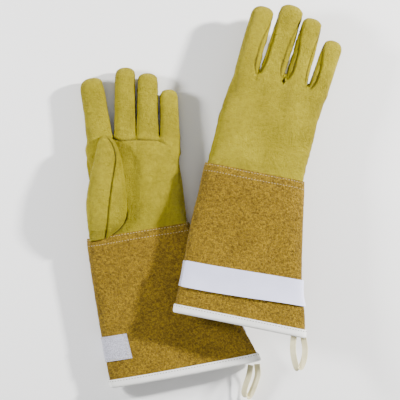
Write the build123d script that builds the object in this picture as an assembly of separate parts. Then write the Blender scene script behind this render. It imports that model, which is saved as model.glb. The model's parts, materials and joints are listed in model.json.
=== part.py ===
from build123d import *
import os
from math import acos, atan2, cos, degrees, hypot, sin
from types import SimpleNamespace as Spec

# A pair of long-cuffed welding gloves, lying one across the other, in millimetres.
#
# Each glove is built in its own glove frame: the origin is the middle of the wrist seam at the level of the
# back of the cuff, +Y runs to the fingertips, +X to the little finger, and +Z from the back of the hand to
# the palm.  The left glove lies palm up.  The right glove is the same form mirrored in Z, so it lies palm
# down, and its cuff rests across the left one.

# Material thicknesses and the gaps between layers.
HIDE = 1.4                  # grain leather of the hand
SPLIT = 1.6                 # split leather of the cuff
LINING = 1.0                # cotton lining
TAPE = 0.9                  # hem binding
SEWN_GAP = 0.15             # between two pieces that are sewn together
FREE_GAP = 0.3              # between pieces that move against each other

# Cuff: straight along the folded thumb side, flared along the little-finger side.
CUFF_HEIGHT = 28.0
CUFF_LENGTH = 183.0
CUFF_THUMB_X = -63.7
CUFF_WRIST_X = 63.0         # little-finger side, at the wrist
CUFF_ROUND = 12.0           # rounding of the two long sides
HEM_TAPE_WIDTH = 8.5
HEM_TAPE_LIP = 1.2          # how far the binding closes past the leather's edge

# Hand: its wrist end is nested inside the cuff.
WRIST_LAP = 12.0
HAND_FLOOR = SPLIT + SEWN_GAP
HAND_HEIGHT = CUFF_HEIGHT - 2 * HAND_FLOOR
HAND_ROUND = CUFF_ROUND - HAND_FLOOR
HAND_THUMB_X = CUFF_THUMB_X + HAND_FLOOR + 0.1
HAND_WRIST_X = CUFF_WRIST_X - HAND_FLOOR - 1.1
HAND_HOLLOW = (-56.0, 30.0)         # start of the slope from the wrist to the index finger
KNUCKLE_ROUND = 13.0
LINING_END_Y = 90.0         # finger end of the hand's lining
LAYER_OVERRUN = 5.0         # how far the hollow of a layer runs out past its open end
KNUCKLE_DROP = 5.0          # how far the palm stops short of the finger bases
KNUCKLE_SPREAD = 0.9        # how far the palm stands out beside the two outer fingers

# Fingers: tapered tubes almost level with the back of the hand.
FINGER_FLOOR = HAND_FLOOR + 0.7
FINGER_HEIGHT = 21.0
FINGER_ROUND = 8.5
FINGER_ROOT = 26.0          # how far a finger tube runs back into the palm
KNUCKLE_OUT = 11.0          # flex line, out from the base of the finger
SIDE_SEAM = FINGER_FLOOR + FINGER_HEIGHT / 2      # level where back and front leather meet
STRIP_HEIGHT = 7.0          # side strips between two fingers
STRIP_TIP = 9.0             # the strips end this far short of the fingertip

# Thumb: a leaf-shaped tube lying on the palm, its interior open to the hand through a hole.
THUMB_FLOOR = HAND_FLOOR + HAND_HEIGHT + FREE_GAP
THUMB_HEIGHT = 20.0
THUMB_ROUND = 7.5
THUMB_TIP_ROUND = 10.0
THUMB_FOOT_Y = 3.0
THUMB_FOOT_X = (-58.0, -13.0)
THUMB_MIDDLE_X = (-47.5, -4.5)
THUMB_MIDDLE_Y = 68.0
THUMB_POINT = (-20.0, 133.0)        # where the two sides would meet, before the tip is rounded
THUMB_SEAM = ((-36.5, 5.0), (-15.0, 112.0))
THUMB_HOLE_X = (-49.0, -19.0)
THUMB_PIVOT = (-55.0, 6.0)          # the thumb swings out about this point of its foot
THUMB_HOLE_Y = (12.0, 40.0)

# Closure strap across the back of the cuff, and the hook patch that it closes on.
STRAP_WIDTH = 31.5
STRAP_THICK = 1.6
STRAP_Y = -135.0
STRAP_BED = 3.0             # the tightened strap draws the leather in by this much
STRAP_FREE_X = -57.0
STRAP_SEWN_INSET = 9.0      # its sewn end, in from the flared side
STRAP_PEEL = 0.5            # depth of its fold line below its outer face
PATCH_THICK = 0.9
PATCH_WIDTH = 31.0
PATCH_PALM_X = -32.5        # its end on the palm side
PATCH_BACK_X = -38.0        # its end on the back, under the strap

# Hanging loop: a tape on edge, caught in the seam at the flared corner of the hem.
LOOP_TAPE_WIDTH = 7.0
LOOP_TAPE = 1.0
LOOP_LENGTH = 38.0
LOOP_WIDTH = 15.0
LOOP_LEVEL = 13.0
LOOP_CLEAR = 3.0            # from the hem to the rounded end of the loop

FAR = 400.0                 # beyond any piece
BOTH = (-1, 1)


def finger(x, y, lean, length, base_width, tip_width, strips):
    """A finger: middle of its base, lean to the little-finger side in degrees, sizes, and its strip sides."""
    return Spec(x=x, y=y, lean=lean, length=length, base_width=base_width, tip_width=tip_width, strips=strips)


LEFT = Spec(
    name="left", mirrored=False, x=-88.5, y=-35.1, z=TAPE, turn=9.4, tilt=0.0,
    hem_x=122.0, loop_inset=10.0, loop_turn=-23.0, loop_droop=10.0,
    fingers={
        "index": finger(-27.2, 117.0, 0.0, 76.5, 28.0, 26.0, (1,)),
        "middle": finger(2.9, 114.5, 9.4, 86.0, 25.5, 24.5, BOTH),
        "ring": finger(29.9, 110.0, 9.4, 79.0, 26.0, 25.0, BOTH),
        "little": finger(57.3, 107.0, 7.0, 57.5, 22.5, 20.5, (-1,)),
    },
)
RIGHT = Spec(
    name="right", mirrored=True, x=54.2, y=36.7, z=55.2, turn=-11.1, tilt=-2.6,
    hem_x=98.0, loop_inset=7.5, loop_turn=17.0, loop_droop=20.0,
    fingers={
        "index": finger(-33.5, 119.0, 4.5, 80.5, 28.0, 26.0, (1,)),
        "middle": finger(-3.2, 120.0, 6.9, 88.0, 27.0, 25.5, BOTH),
        "ring": finger(27.8, 117.5, 4.2, 79.0, 26.0, 25.0, BOTH),
        "little": finger(55.5, 109.5, 7.7, 65.5, 22.5, 21.0, (-1,)),
    },
)
GLOVES = (LEFT, RIGHT)


# ---------------------------------------------------------------- forms

def slab(x0, x1, y0, y1, z0, z1):
    """A box between two corners."""
    return Pos((x0 + x1) / 2, (y0 + y1) / 2, (z0 + z1) / 2) * Box(x1 - x0, y1 - y0, z1 - z0)


def above(z):
    return slab(-FAR, FAR, -FAR, FAR, z, FAR)


def below(z):
    return slab(-FAR, FAR, -FAR, FAR, -FAR, z)


def rounded(block, radius, keep):
    """The block with the edges of its floor and top rounded, where keep says so of an edge's middle."""
    box = block.bounding_box()
    rims = []
    for edge in block.edges():
        span = edge.bounding_box()
        flat_low = span.max.Z < box.min.Z + 1e-3
        flat_high = span.min.Z > box.max.Z - 1e-3
        if (flat_low or flat_high) and keep(edge @ 0.5):
            rims.append(edge)
    return fillet(rims, radius)


def everywhere(point):
    return True


# ---------------------------------------------------------------- cuff

def flare(glove, y):
    """X of the cuff's flared side, at a place along the cuff."""
    return CUFF_WRIST_X + (glove.hem_x - CUFF_WRIST_X) * -y / CUFF_LENGTH


def cuff_block(glove, inset, y0, y1):
    """The cuff's outer form, or that form inset, between two places along it."""
    slant = inset / cos(atan2(glove.hem_x - CUFF_WRIST_X, CUFF_LENGTH))
    left = CUFF_THUMB_X + inset
    right = [flare(glove, y) - slant for y in (y0, y1)]
    outline = Polyline((left, y0), (right[0], y0), (right[1], y1), (left, y1), close=True)
    block = Pos(0, 0, inset) * extrude(make_face(outline), CUFF_HEIGHT - 2 * inset)
    return rounded(block, CUFF_ROUND - inset, lambda at: y0 + 1 < at.Y < y1 - 1)


def strap_bed(glove, deeper):
    """The shallow bed across the back of the cuff that the tightened strap lies in."""
    half = STRAP_WIDTH / 2 + 0.8 + deeper
    return slab(-FAR, FAR, STRAP_Y - half, STRAP_Y + half, -FAR, STRAP_BED + deeper)


def cuff(glove):
    """One piece of split leather, folded along the thumb side and sewn along the other."""
    outside = cuff_block(glove, 0, -CUFF_LENGTH, 0) - strap_bed(glove, 0)
    inside = cuff_block(glove, SPLIT, -CUFF_LENGTH - 5, 5) - strap_bed(glove, SPLIT)
    return outside - inside


def cuff_lining(glove):
    """The lining, from the hem up to the end of the hand's leather."""
    outer = SPLIT + 0.05
    inner = outer + LINING
    outside = cuff_block(glove, outer, -CUFF_LENGTH, -WRIST_LAP - 1) - strap_bed(glove, outer)
    inside = cuff_block(glove, inner, -CUFF_LENGTH - 5, 5) - strap_bed(glove, inner)
    return outside - inside


def hem_binding(glove):
    """Tape folded over the raw edge of the cuff and its lining."""
    end = -CUFF_LENGTH - HEM_TAPE_LIP
    start = end + HEM_TAPE_WIDTH
    layers = SPLIT + 0.05 + LINING
    tape = cuff_block(glove, -TAPE, end, start) - cuff_block(glove, layers + TAPE, end - 5, start + 5)
    edge = cuff_block(glove, -0.03, -CUFF_LENGTH - 0.03, start + 5)
    hollow = cuff_block(glove, layers + 0.03, -CUFF_LENGTH - 5, start + 10)
    return tape - (edge - hollow)


# ---------------------------------------------------------------- closure

def hook_patch(glove):
    """A patch that starts on the palm side, wraps round the folded thumb side and ends under the strap."""
    half = PATCH_WIDTH / 2
    y0, y1 = STRAP_Y - half, STRAP_Y + half
    skin = cuff_block(glove, -PATCH_THICK, y0, y1) - cuff_block(glove, -0.02, y0 - 5, y1 + 5)
    palm_side = skin & slab(-FAR, PATCH_PALM_X, -FAR, FAR, CUFF_HEIGHT / 2, FAR)
    bed_level = STRAP_BED - 0.02
    edge = skin & slab(-FAR, 0, -FAR, FAR, bed_level - PATCH_THICK, CUFF_HEIGHT / 2)
    back = slab(CUFF_THUMB_X + 2, PATCH_BACK_X, y0, y1, bed_level - PATCH_THICK, bed_level)
    return palm_side + edge + back


def strap_levels():
    """Inner and outer face of the closed strap."""
    inner = STRAP_BED - PATCH_THICK - 0.02 - FREE_GAP
    return inner - STRAP_THICK, inner


def strap_sewn_x(glove):
    """X of the line where the strap is sewn on, and swings from."""
    return flare(glove, STRAP_Y) - STRAP_SEWN_INSET


def closure_strap(glove):
    low, high = strap_levels()
    half = STRAP_WIDTH / 2
    plate = slab(STRAP_FREE_X, strap_sewn_x(glove), STRAP_Y - half, STRAP_Y + half, low, high)
    corners = plate.edges().filter_by(Axis.Z).group_by(Axis.X)[0]
    return fillet(corners, 3.0)


def loop_root(glove):
    """Where the hanging loop leaves the hem binding."""
    x = flare(glove, -CUFF_LENGTH) - glove.loop_inset
    return x, -CUFF_LENGTH - HEM_TAPE_LIP - LOOP_CLEAR, LOOP_LEVEL


def hanging_loop(glove):
    """A long loop of tape on edge, with its near end at the hem."""
    outer = Pos(0, -LOOP_LENGTH / 2, 0) * Rot(0, 0, 90) * SlotOverall(LOOP_LENGTH, LOOP_WIDTH)
    inner = offset(outer, -LOOP_TAPE)
    tape = Pos(0, 0, -LOOP_TAPE_WIDTH / 2) * extrude(outer - inner, LOOP_TAPE_WIDTH)
    return loop_place(glove) * tape


def loop_place(glove):
    return Pos(*loop_root(glove)) * Rot(0, 0, glove.loop_turn) * Rot(glove.loop_droop, 0, 0)


# ---------------------------------------------------------------- hand and fingers

def taper_face(half_base, half_tip, back, tip):
    """A tapered outline along +Y that ends in a round tip, tangent to both sides."""
    centre = tip - half_tip
    span = centre - back
    angle = acos(half_tip / hypot(half_base, span)) - atan2(span, half_base)
    x, y = half_tip * cos(angle), centre + half_tip * sin(angle)
    side = Polyline((-x, y), (-half_base, back), (half_base, back), (x, y))
    return make_face(side + ThreePointArc((x, y), (0, tip), (-x, y)))


def finger_place(f):
    """From a finger's own frame, at the middle of its base, to the glove frame."""
    return Pos(f.x, f.y, 0) * Rot(0, 0, -f.lean)


def finger_block(f, inset):
    """The outer form of a whole finger, or that form inset, running back into the palm."""
    spread = (f.base_width - f.tip_width) / 2 * (1 + FINGER_ROOT / f.length)
    half_tip = f.tip_width / 2 - inset
    face = taper_face(half_tip + spread, half_tip, -FINGER_ROOT, f.length - inset)
    block = Pos(0, 0, FINGER_FLOOR + inset) * extrude(face, FINGER_HEIGHT - 2 * inset)
    return finger_place(f) * rounded(block, FINGER_ROUND - inset, lambda at: at.Y > 1 - FINGER_ROOT)


def before_flex(f):
    return finger_place(f) * slab(-FAR, FAR, -FAR, KNUCKLE_OUT - FREE_GAP / 2, -FAR, FAR)


def beyond_flex(f):
    return finger_place(f) * slab(-FAR, FAR, KNUCKLE_OUT + FREE_GAP / 2, FAR, -FAR, FAR)


def palm_block(glove, inset):
    """The outer form of the palm, or that form inset and open at the wrist, up to the finger bases."""
    index, little = glove.fingers["index"], glove.fingers["little"]
    wrist = -WRIST_LAP if inset == 0 else -WRIST_LAP - LAYER_OVERRUN
    left = index.x - index.base_width / 2 - KNUCKLE_SPREAD
    right = little.x + little.base_width / 2 + KNUCKLE_SPREAD
    outline = Polyline(
        (HAND_THUMB_X + inset, wrist),
        (HAND_WRIST_X - inset, wrist),
        (right - inset, little.y - KNUCKLE_DROP - inset),
        (left + inset, index.y - KNUCKLE_DROP - inset),
        (HAND_HOLLOW[0] + inset, HAND_HOLLOW[1]),
        (HAND_THUMB_X + inset, 0),
        close=True)
    face = make_face(outline)
    tips = face.vertices().sort_by(Axis.Y)[-2:]
    face = fillet(tips, KNUCKLE_ROUND - inset)
    block = Pos(0, 0, HAND_FLOOR + inset) * extrude(face, HAND_HEIGHT - 2 * inset)
    return rounded(block, HAND_ROUND - inset, lambda at: at.Y > wrist + 1)


def hand_shell(glove):
    """The leather of the hand, open at the wrist and at every finger."""
    form = palm_block(glove, 0)
    hollow = palm_block(glove, HIDE)
    for f in glove.fingers.values():
        form += finger_block(f, 0) & before_flex(f)
        hollow += finger_block(f, HIDE)
    return form - hollow


def thumb_hole():
    return slab(*THUMB_HOLE_X, *THUMB_HOLE_Y, HAND_FLOOR + HAND_HEIGHT / 2, THUMB_FLOOR + THUMB_HEIGHT / 2)


def hand_panels(glove):
    """Back and palm leather, as far as the flex line of the fingers."""
    shell = hand_shell(glove)
    back = shell & below(SIDE_SEAM - SEWN_GAP / 2)
    palm = (shell & above(SIDE_SEAM + SEWN_GAP / 2)) - thumb_hole()
    return {"back_panel": back, "palm_panel": palm}


def hand_lining(glove):
    """A sleeve of cotton inside the palm, open at the wrist and at the finger end."""
    outer = HIDE + 0.05
    sleeve = palm_block(glove, outer) - palm_block(glove, outer + LINING)
    return (sleeve & slab(-FAR, FAR, -FAR, LINING_END_Y, -FAR, FAR)) - thumb_hole()


def finger_pieces(name, f):
    """Back, front and side strips of one finger, beyond its flex line."""
    shell = (finger_block(f, 0) - finger_block(f, HIDE)) & beyond_flex(f)
    strips = shell & strip_zone(f, SEWN_GAP / 2)
    rest = shell - strip_zone(f, 0)
    return {
        f"{name}_back": rest & below(SIDE_SEAM - SEWN_GAP / 2),
        f"{name}_front": rest & above(SIDE_SEAM + SEWN_GAP / 2),
        f"{name}_sides": strips,
    }


def strip_zone(f, inset):
    """Where a finger's side strips run: one band on each side that faces another finger."""
    zone = Part()
    for side in f.strips:
        inner, outer = sorted((side * 4.0, side * 30.0))
        zone += slab(inner, outer, -FAR, f.length - STRIP_TIP - inset,
                     SIDE_SEAM - STRIP_HEIGHT / 2 + inset, SIDE_SEAM + STRIP_HEIGHT / 2 - inset)
    return finger_place(f) * zone


# ---------------------------------------------------------------- thumb

def thumb_block(inset):
    """The outer form of the thumb, or that form inset."""
    foot = [(x, THUMB_FOOT_Y) for x in THUMB_FOOT_X]
    middle = [(x, THUMB_MIDDLE_Y) for x in THUMB_MIDDLE_X]
    outer_side = ThreePointArc(foot[0], middle[0], THUMB_POINT)
    inner_side = ThreePointArc(THUMB_POINT, middle[1], foot[1])
    face = make_face(outer_side + inner_side + Line(foot[1], foot[0]))
    face = fillet(face.vertices(), THUMB_TIP_ROUND)
    if inset:
        face = offset(face, -inset)
    block = Pos(0, 0, THUMB_FLOOR + inset) * extrude(face, THUMB_HEIGHT - 2 * inset)
    return rounded(block, THUMB_ROUND - inset, everywhere)


def thumb_pieces():
    """Outer and inner half of the thumb, sewn along its middle."""
    shell = thumb_block(0) - thumb_block(HIDE) - thumb_hole()
    (x0, y0), (x1, y1) = THUMB_SEAM
    at_seam = Pos(x0, y0, 0) * Rot(0, 0, -degrees(atan2(x1 - x0, y1 - y0)))
    outer_half = at_seam * slab(-FAR, -SEWN_GAP / 2, -FAR, FAR, -FAR, FAR)
    inner_half = at_seam * slab(SEWN_GAP / 2, FAR, -FAR, FAR, -FAR, FAR)
    return {"thumb_outer": shell & outer_half, "thumb_inner": shell & inner_half}


# ---------------------------------------------------------------- the pair

def glove_pieces(glove):
    """Every piece of one glove, in the glove frame."""
    pieces = hand_panels(glove)
    for name, f in glove.fingers.items():
        pieces.update(finger_pieces(name, f))
    pieces.update(thumb_pieces())
    pieces["hand_lining"] = hand_lining(glove)
    pieces["cuff"] = cuff(glove)
    pieces["cuff_lining"] = cuff_lining(glove)
    pieces["hem_binding"] = hem_binding(glove)
    pieces["hook_patch"] = hook_patch(glove)
    pieces["closure_strap"] = closure_strap(glove)
    pieces["hanging_loop"] = hanging_loop(glove)
    return pieces


def hinge_points(glove):
    """A point on each hinge of a glove, in the glove frame."""
    points = {"thumb": (*THUMB_PIVOT, THUMB_FLOOR)}
    for name, f in glove.fingers.items():
        points[name] = tuple((finger_place(f) * Pos(0, KNUCKLE_OUT, FINGER_FLOOR + FINGER_HEIGHT)).position)
    points["strap"] = (strap_sewn_x(glove), STRAP_Y, strap_levels()[0] + STRAP_PEEL)
    points["loop"] = loop_root(glove)
    return points


def in_place(glove, shape):
    """A piece of a glove, turned over if need be, and laid where the glove lies."""
    if glove.mirrored:
        shape = mirror(shape, about=Plane.XY)
    return Pos(glove.x, glove.y, glove.z) * Rot(0, 0, glove.turn) * Rot(glove.tilt, 0, 0) * shape


def main():
    os.makedirs("parts", exist_ok=True)
    for glove in GLOVES:
        for name, shape in glove_pieces(glove).items():
            export_step(in_place(glove, shape), f"parts/{glove.name}_{name}.step")
        for name, point in hinge_points(glove).items():
            print(f"{glove.name} {name} hinge", in_place(glove, Vertex(*point)).bounding_box().center())


if __name__ == "__main__":
    main()
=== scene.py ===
"""A pair of leather welding gloves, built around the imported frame.

Shapes are made in each glove's own frame, in millimetres: x to the little finger, y to the fingertips and
z from the back of the hand to the palm.  Glove.place puts them in the shared frame, in metres.
"""
import json
import math

import bpy
import numpy as np
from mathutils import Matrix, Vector, noise


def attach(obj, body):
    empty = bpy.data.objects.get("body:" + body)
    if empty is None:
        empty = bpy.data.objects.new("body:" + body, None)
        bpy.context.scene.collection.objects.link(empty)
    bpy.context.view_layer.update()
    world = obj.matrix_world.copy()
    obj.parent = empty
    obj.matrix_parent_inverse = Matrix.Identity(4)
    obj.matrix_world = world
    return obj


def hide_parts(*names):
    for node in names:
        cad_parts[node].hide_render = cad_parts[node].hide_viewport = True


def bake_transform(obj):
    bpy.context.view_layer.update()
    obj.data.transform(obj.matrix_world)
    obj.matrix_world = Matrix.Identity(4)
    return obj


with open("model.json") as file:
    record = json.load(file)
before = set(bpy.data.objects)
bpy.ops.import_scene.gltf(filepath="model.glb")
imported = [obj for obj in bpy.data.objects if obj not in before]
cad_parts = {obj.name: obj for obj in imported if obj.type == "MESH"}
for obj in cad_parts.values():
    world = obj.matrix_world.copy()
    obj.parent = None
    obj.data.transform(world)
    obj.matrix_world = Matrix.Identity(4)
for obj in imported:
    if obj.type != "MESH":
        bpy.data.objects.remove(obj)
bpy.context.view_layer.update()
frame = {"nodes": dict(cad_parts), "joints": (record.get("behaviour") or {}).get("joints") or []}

MM = 0.001
JOINTS = {joint["name"]: joint for joint in frame["joints"]}
FINGERS = ("index", "middle", "ring", "little")

CUFF_THUMB_X = -63.7  # thumb side of the cuff, in the glove's frame
CUFF_LENGTH = 183.0
CUFF_THICK = 1.6
HIDE_THICK = 1.2
LINING_THICK = 0.8
HIDE_SHARP, TAPE_SHARP = 40, 50  # angles beyond which an edge is crisp, in degrees
KNUCKLE_OUT = 11.0  # from a finger's base to its flex line
STRAP_WIDTH = 32.0
SEAM_Z = 12.95  # level of the side seam of hand and fingers
FINGER_OVER = 1.6  # leather that stands past each finger's plain CAD form, at its tip
FINGER_FULL = {  # and on each side of it
    "left": {"index": 1.9, "middle": 1.2, "ring": 1.5, "little": 1.2},
    "right": {"index": 1.2, "middle": 3.0, "ring": 1.5, "little": 2.0},
}
FINGER_FLARE = 1.1  # how much fuller a finger is at its root, except on its free side
ROOT_TUCK = 5.5  # how much narrower it gets on its free side, inside the palm
FREE_SIDE = {"left": {"little": 1}, "right": {"index": -1, "little": 1}}
FINGER_POWER = 2.5  # squareness of a finger's section
FINGER_HALF_HEIGHT = 10.3
PALM_POWER = 3.0  # squareness of the palm's section
NUDGE = 0.05  # step for a field's slope
STRIP_RISE = 4.0  # a side strip's edge on the palm side, above the seam level


# ------------------------ small maths

def curve(at, knots):
    """A smooth line through (place, value) knots, at an array of places."""
    xs, ys = (np.array(k, float) for k in zip(*sorted(knots)))
    slopes = np.gradient(ys, xs)
    at = np.clip(at, xs[0], xs[-1])
    i = np.clip(np.searchsorted(xs, at) - 1, 0, len(xs) - 2)
    h = xs[i + 1] - xs[i]
    t = (at - xs[i]) / h
    a, b = (1 + 2 * t) * (1 - t) ** 2, t * (1 - t) ** 2
    c, d = t * t * (3 - 2 * t), t * t * (t - 1)
    return a * ys[i] + b * h * slopes[i] + c * ys[i + 1] + d * h * slopes[i + 1]


def smooth_step(x, low, high):
    t = np.clip((x - low) / (high - low), 0, 1)
    return t * t * (3 - 2 * t)


def signed_power(value, power):
    return np.sign(value) * np.abs(value) ** power


def span(y, left_edge, right_edge):
    """Centre and half width between two edges, at places along the glove."""
    left, right = curve(y, left_edge), curve(y, right_edge)
    return (left + right) / 2, (right - left) / 2


def groove(distance, width):
    """1 on a line, falling to 0 over a width."""
    return np.exp(-(distance / width) ** 2)


def smooth_min(a, b, k):
    h = np.clip(0.5 + 0.5 * (b - a) / k, 0, 1)
    return b * (1 - h) + a * h - k * h * (1 - h)


def ripple(points, size, seed):
    """Smooth noise of about -1 to 1, at features of a given size, for rows of x, y, z."""
    offset = Vector((seed * 7.3, seed * 3.1, seed * 5.7))
    return np.array([noise.noise(Vector(p) / size + offset) for p in points])


def polyline_distance(x, y, knots):
    """Distance in plan from points to a line through knots."""
    best = np.full(np.shape(x), 1e9)
    for (x0, y0), (x1, y1) in zip(knots, knots[1:]):
        dx, dy = x1 - x0, y1 - y0
        t = np.clip(((x - x0) * dx + (y - y0) * dy) / (dx * dx + dy * dy), 0, 1)
        best = np.minimum(best, np.hypot(x - x0 - t * dx, y - y0 - t * dy))
    return best


# ------------------------ gloves

class Glove:
    """One glove's frame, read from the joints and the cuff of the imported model."""

    def __init__(self, side, seed):
        self.side, self.seed = side, seed
        self.body = f"{side}_glove"
        names = ("strap_open", "thumb_swing", "index_flex", "middle_flex", "little_flex")
        spot = {name: self.joint(name)[0] for name in names}
        across = spot["little_flex"] - spot["index_flex"]
        along = self.joint("strap_open")[1]
        along = along * np.sign(along @ (spot["middle_flex"] - spot["strap_open"]))
        up = self.joint("thumb_swing")[1]
        up = up * np.sign(up @ (spot["thumb_swing"] - spot["strap_open"]))
        x_axis = np.cross(along, up)
        x_axis = x_axis * np.sign(x_axis @ across)
        self.axes = np.array([x_axis, along, up])
        self.mirrored = np.linalg.det(self.axes) < 0
        self.origin = np.zeros(3)
        cuff = self.local(self.vertices("cuff"))
        corner = np.array([cuff[:, 0].min() - CUFF_THUMB_X, cuff[:, 1].max(), cuff[:, 2].min()])
        self.origin = self.place(corner)
        self.fingers = {name: self.finger(name) for name in FINGERS}

    def joint(self, name):
        joint = JOINTS[f"{self.side}_{name}"]
        return np.array(joint["pos_m"]), np.array(joint["axis"])

    def vertices(self, node):
        return np.array([v.co for v in frame["nodes"][f"{self.side}_{node}"].data.vertices])

    def local(self, points):
        return (np.asarray(points) - self.origin) @ self.axes.T / MM

    def place(self, points):
        return np.asarray(points, float) * MM @ self.axes + self.origin

    def finger(self, name):
        """A finger's base, direction, length and half widths, from its joint and its CAD pieces."""
        spot, axis = self.joint(f"{name}_flex")
        spot, axis = self.local(spot), self.axes @ axis
        direction = np.array([-axis[1], axis[0]])
        direction = direction / np.linalg.norm(direction) * np.sign(direction[1])
        side = np.array([direction[1], -direction[0]])
        shape = self.local(self.vertices(f"{name}_front"))[:, :2] - spot[:2]
        beyond, off = shape @ direction, np.abs(shape @ side)
        length = beyond.max() + KNUCKLE_OUT + FINGER_OVER
        full = FINGER_FULL[self.side][name]
        base = off[beyond < 5].max() + full
        tip = off[(beyond > beyond.max() - 24)].max() + full
        free_side = FREE_SIDE[self.side].get(name, 0)
        return {"base": spot[:2] - direction * KNUCKLE_OUT, "along": direction, "side": side,
                "length": length, "half": base, "half_tip": tip, "free_side": free_side}


LEFT, RIGHT = Glove("left", 1), Glove("right", 2)
GLOVES = (LEFT, RIGHT)


# ------------------------ meshes

def make_piece(name, glove, points, faces, material, body=None, thickness=0, offset=-1):
    """A piece from points in a glove's frame, named after its side, on a body and thickened if given."""
    name = f"{glove.side}_{name}"
    mesh = bpy.data.meshes.new(name)
    mesh.from_pydata([tuple(p) for p in glove.place(points)], [], [tuple(f) for f in faces])
    if glove.mirrored:
        mesh.flip_normals()
    mesh.validate()
    mesh.polygons.foreach_set("use_smooth", [True] * len(mesh.polygons))
    piece = new_object(name, mesh)
    mesh.materials.append(material)
    if body:
        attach(piece, body)
    if thickness:
        thicken(piece, thickness, TAPE_SHARP, offset)
    return piece


def grid_faces(rows, columns, closed=False):
    """Quads of a grid whose points run row by row."""
    faces = []
    last = columns if closed else columns - 1
    for r in range(rows - 1):
        for c in range(last):
            d = (c + 1) % columns
            faces.append((r * columns + c, r * columns + d, (r + 1) * columns + d, (r + 1) * columns + c))
    return faces


def new_object(name, mesh):
    thing = bpy.data.objects.new(name, mesh)
    bpy.context.scene.collection.objects.link(thing)
    return thing


def apply_modifiers(piece):
    """Replace a piece's mesh with what its modifiers make."""
    graph = bpy.context.evaluated_depsgraph_get()
    done = bpy.data.meshes.new_from_object(piece.evaluated_get(graph))
    piece.modifiers.clear()
    piece.data = done


def thicken(piece, thickness, sharp, offset=-1):
    """Give a sheet its thickness, with edges that are crisp beyond an angle in degrees."""
    solid = piece.modifiers.new("thickness", "SOLIDIFY")
    solid.thickness = thickness * MM
    solid.offset = offset
    apply_modifiers(piece)
    piece.data.set_sharp_from_angle(angle=math.radians(sharp))


def modified(points, faces, kind, **settings):
    """Points and faces of a mesh after one modifier."""
    mesh = bpy.data.meshes.new("scratch")
    mesh.from_pydata([tuple(p) for p in points], [], faces)
    scratch = new_object("scratch", mesh)
    modifier = scratch.modifiers.new("only", kind)
    for name, value in settings.items():
        setattr(modifier, name, value)
    apply_modifiers(scratch)
    result = np.zeros(len(scratch.data.vertices) * 3)
    scratch.data.vertices.foreach_get("co", result)
    faces = [tuple(p.vertices) for p in scratch.data.polygons]
    bpy.data.objects.remove(scratch)
    return result.reshape(-1, 3), faces


def superellipse(count, power):
    """Unit points round a superellipse, evenly enough spaced, from +x towards +z."""
    fine = 720
    t = np.linspace(0, 2 * math.pi, fine + 1)[np.arange(count) * fine // count]
    return np.stack([signed_power(np.cos(t), 2 / power), signed_power(np.sin(t), 2 / power)], 1)


# ------------------------ hand and fingers

HAND_LEFT_EDGE = {
    "left": ((-14, -60), (0, -60.5), (36, -57.5), (48, -55), (60, -51), (75, -47.2), (86, -45.8),
             (96, -45.2), (108, -44.8), (120, -44.4)),
    "right": ((-14, -57.5), (0, -57.5), (30, -55.5), (60, -54.8), (75, -54.4), (88, -52.6),
              (98, -51), (108, -49), (122, -46)),
}
HAND_RIGHT_EDGE = {
    "left": ((-14, 59.5), (0, 61.4), (22, 62.4), (40, 63.8), (62, 66), (76, 67.2), (90, 67.8),
             (102, 67.6), (114, 67)),
    "right": ((-14, 59), (0, 59.8), (23, 60.4), (46, 62.2), (71, 63.4), (85, 64), (96, 64.4),
              (106, 64.4), (116, 63.6)),
}
HAND_HALF_HEIGHT = ((-14, 9.8), (0, 10.6), (30, 12), (70, 12.2), (100, 11.2), (125, 10.2))
HAND_LOW = 2.4  # level of the back of the hand
HAND_END = -10.5  # where the hand's leather ends inside the cuff
PALM_SEAM = ((-11.4, 117), (-4.7, 112.8), (16.2, 111), (42.4, 105.4), (49.1, 100.8), (57.7, 93.2))


def finger_field(f, p):
    """Signed measure of a finger: a tube with a round tip and a round root inside the palm."""
    offset = p[:, :2] - f["base"]
    u, v = offset @ f["side"], offset @ f["along"]
    share = np.clip(v / f["length"], 0, 1)
    half = f["half"] + (f["half_tip"] - f["half"]) * share
    free = u * f["free_side"] > 0
    half = half + np.where(free, -ROOT_TUCK * smooth_step(v, 3, -13), FINGER_FLARE * smooth_step(v, 36, 4))
    high = FINGER_HALF_HEIGHT - 0.8 * share
    mid = HAND_LOW + 0.5 + FINGER_HALF_HEIGHT - 1.2 * share
    cap = f["half_tip"] * 0.98
    tip = np.clip(v - (f["length"] - cap), 0, None) / cap
    root = np.clip(-8 - v, 0, None) / 18
    across, upright = np.abs(u / half), np.abs((p[:, 2] - mid) / high)
    size = across ** FINGER_POWER + upright ** FINGER_POWER + tip ** 2.2 + root ** FINGER_POWER
    return (size ** (1 / FINGER_POWER) - 1) * np.minimum(half, high)


def palm_field(glove, p):
    """Signed measure of the palm: a flat tube that ends just inside the fingers' bases."""
    x, y, z = p.T
    centre, half = span(y, HAND_LEFT_EDGE[glove.side], HAND_RIGHT_EDGE[glove.side])
    high = curve(y, HAND_HALF_HEIGHT)
    size = np.abs((x - centre) / half) ** PALM_POWER + np.abs((z - HAND_LOW - high) / high) ** PALM_POWER
    tube = (size ** (1 / PALM_POWER) - 1) * high
    end = curve(x, [(f["base"][0], f["base"][1] - 1.3) for f in glove.fingers.values()])
    return -smooth_min(-tube, -(y - end), 9)


def hand_field(glove, p):
    fingers = np.full(len(p), 1e9)
    for f in glove.fingers.values():
        fingers = np.minimum(fingers, finger_field(f, p))
    return smooth_min(palm_field(glove, p), fingers, 6)


def settle_on(field, points, steps):
    """Move points onto a field's zero level."""
    for _ in range(steps):
        value = field(points)
        rises = [field(points + NUDGE * e) - field(points - NUDGE * e) for e in np.eye(3)]
        slope = np.stack(rises, 1) / (2 * NUDGE)
        steep = np.maximum((slope ** 2).sum(1), 0.05)
        step = np.clip(value / steep, -2.5, 2.5)
        points = points - slope * step[:, None]
    return points


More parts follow.
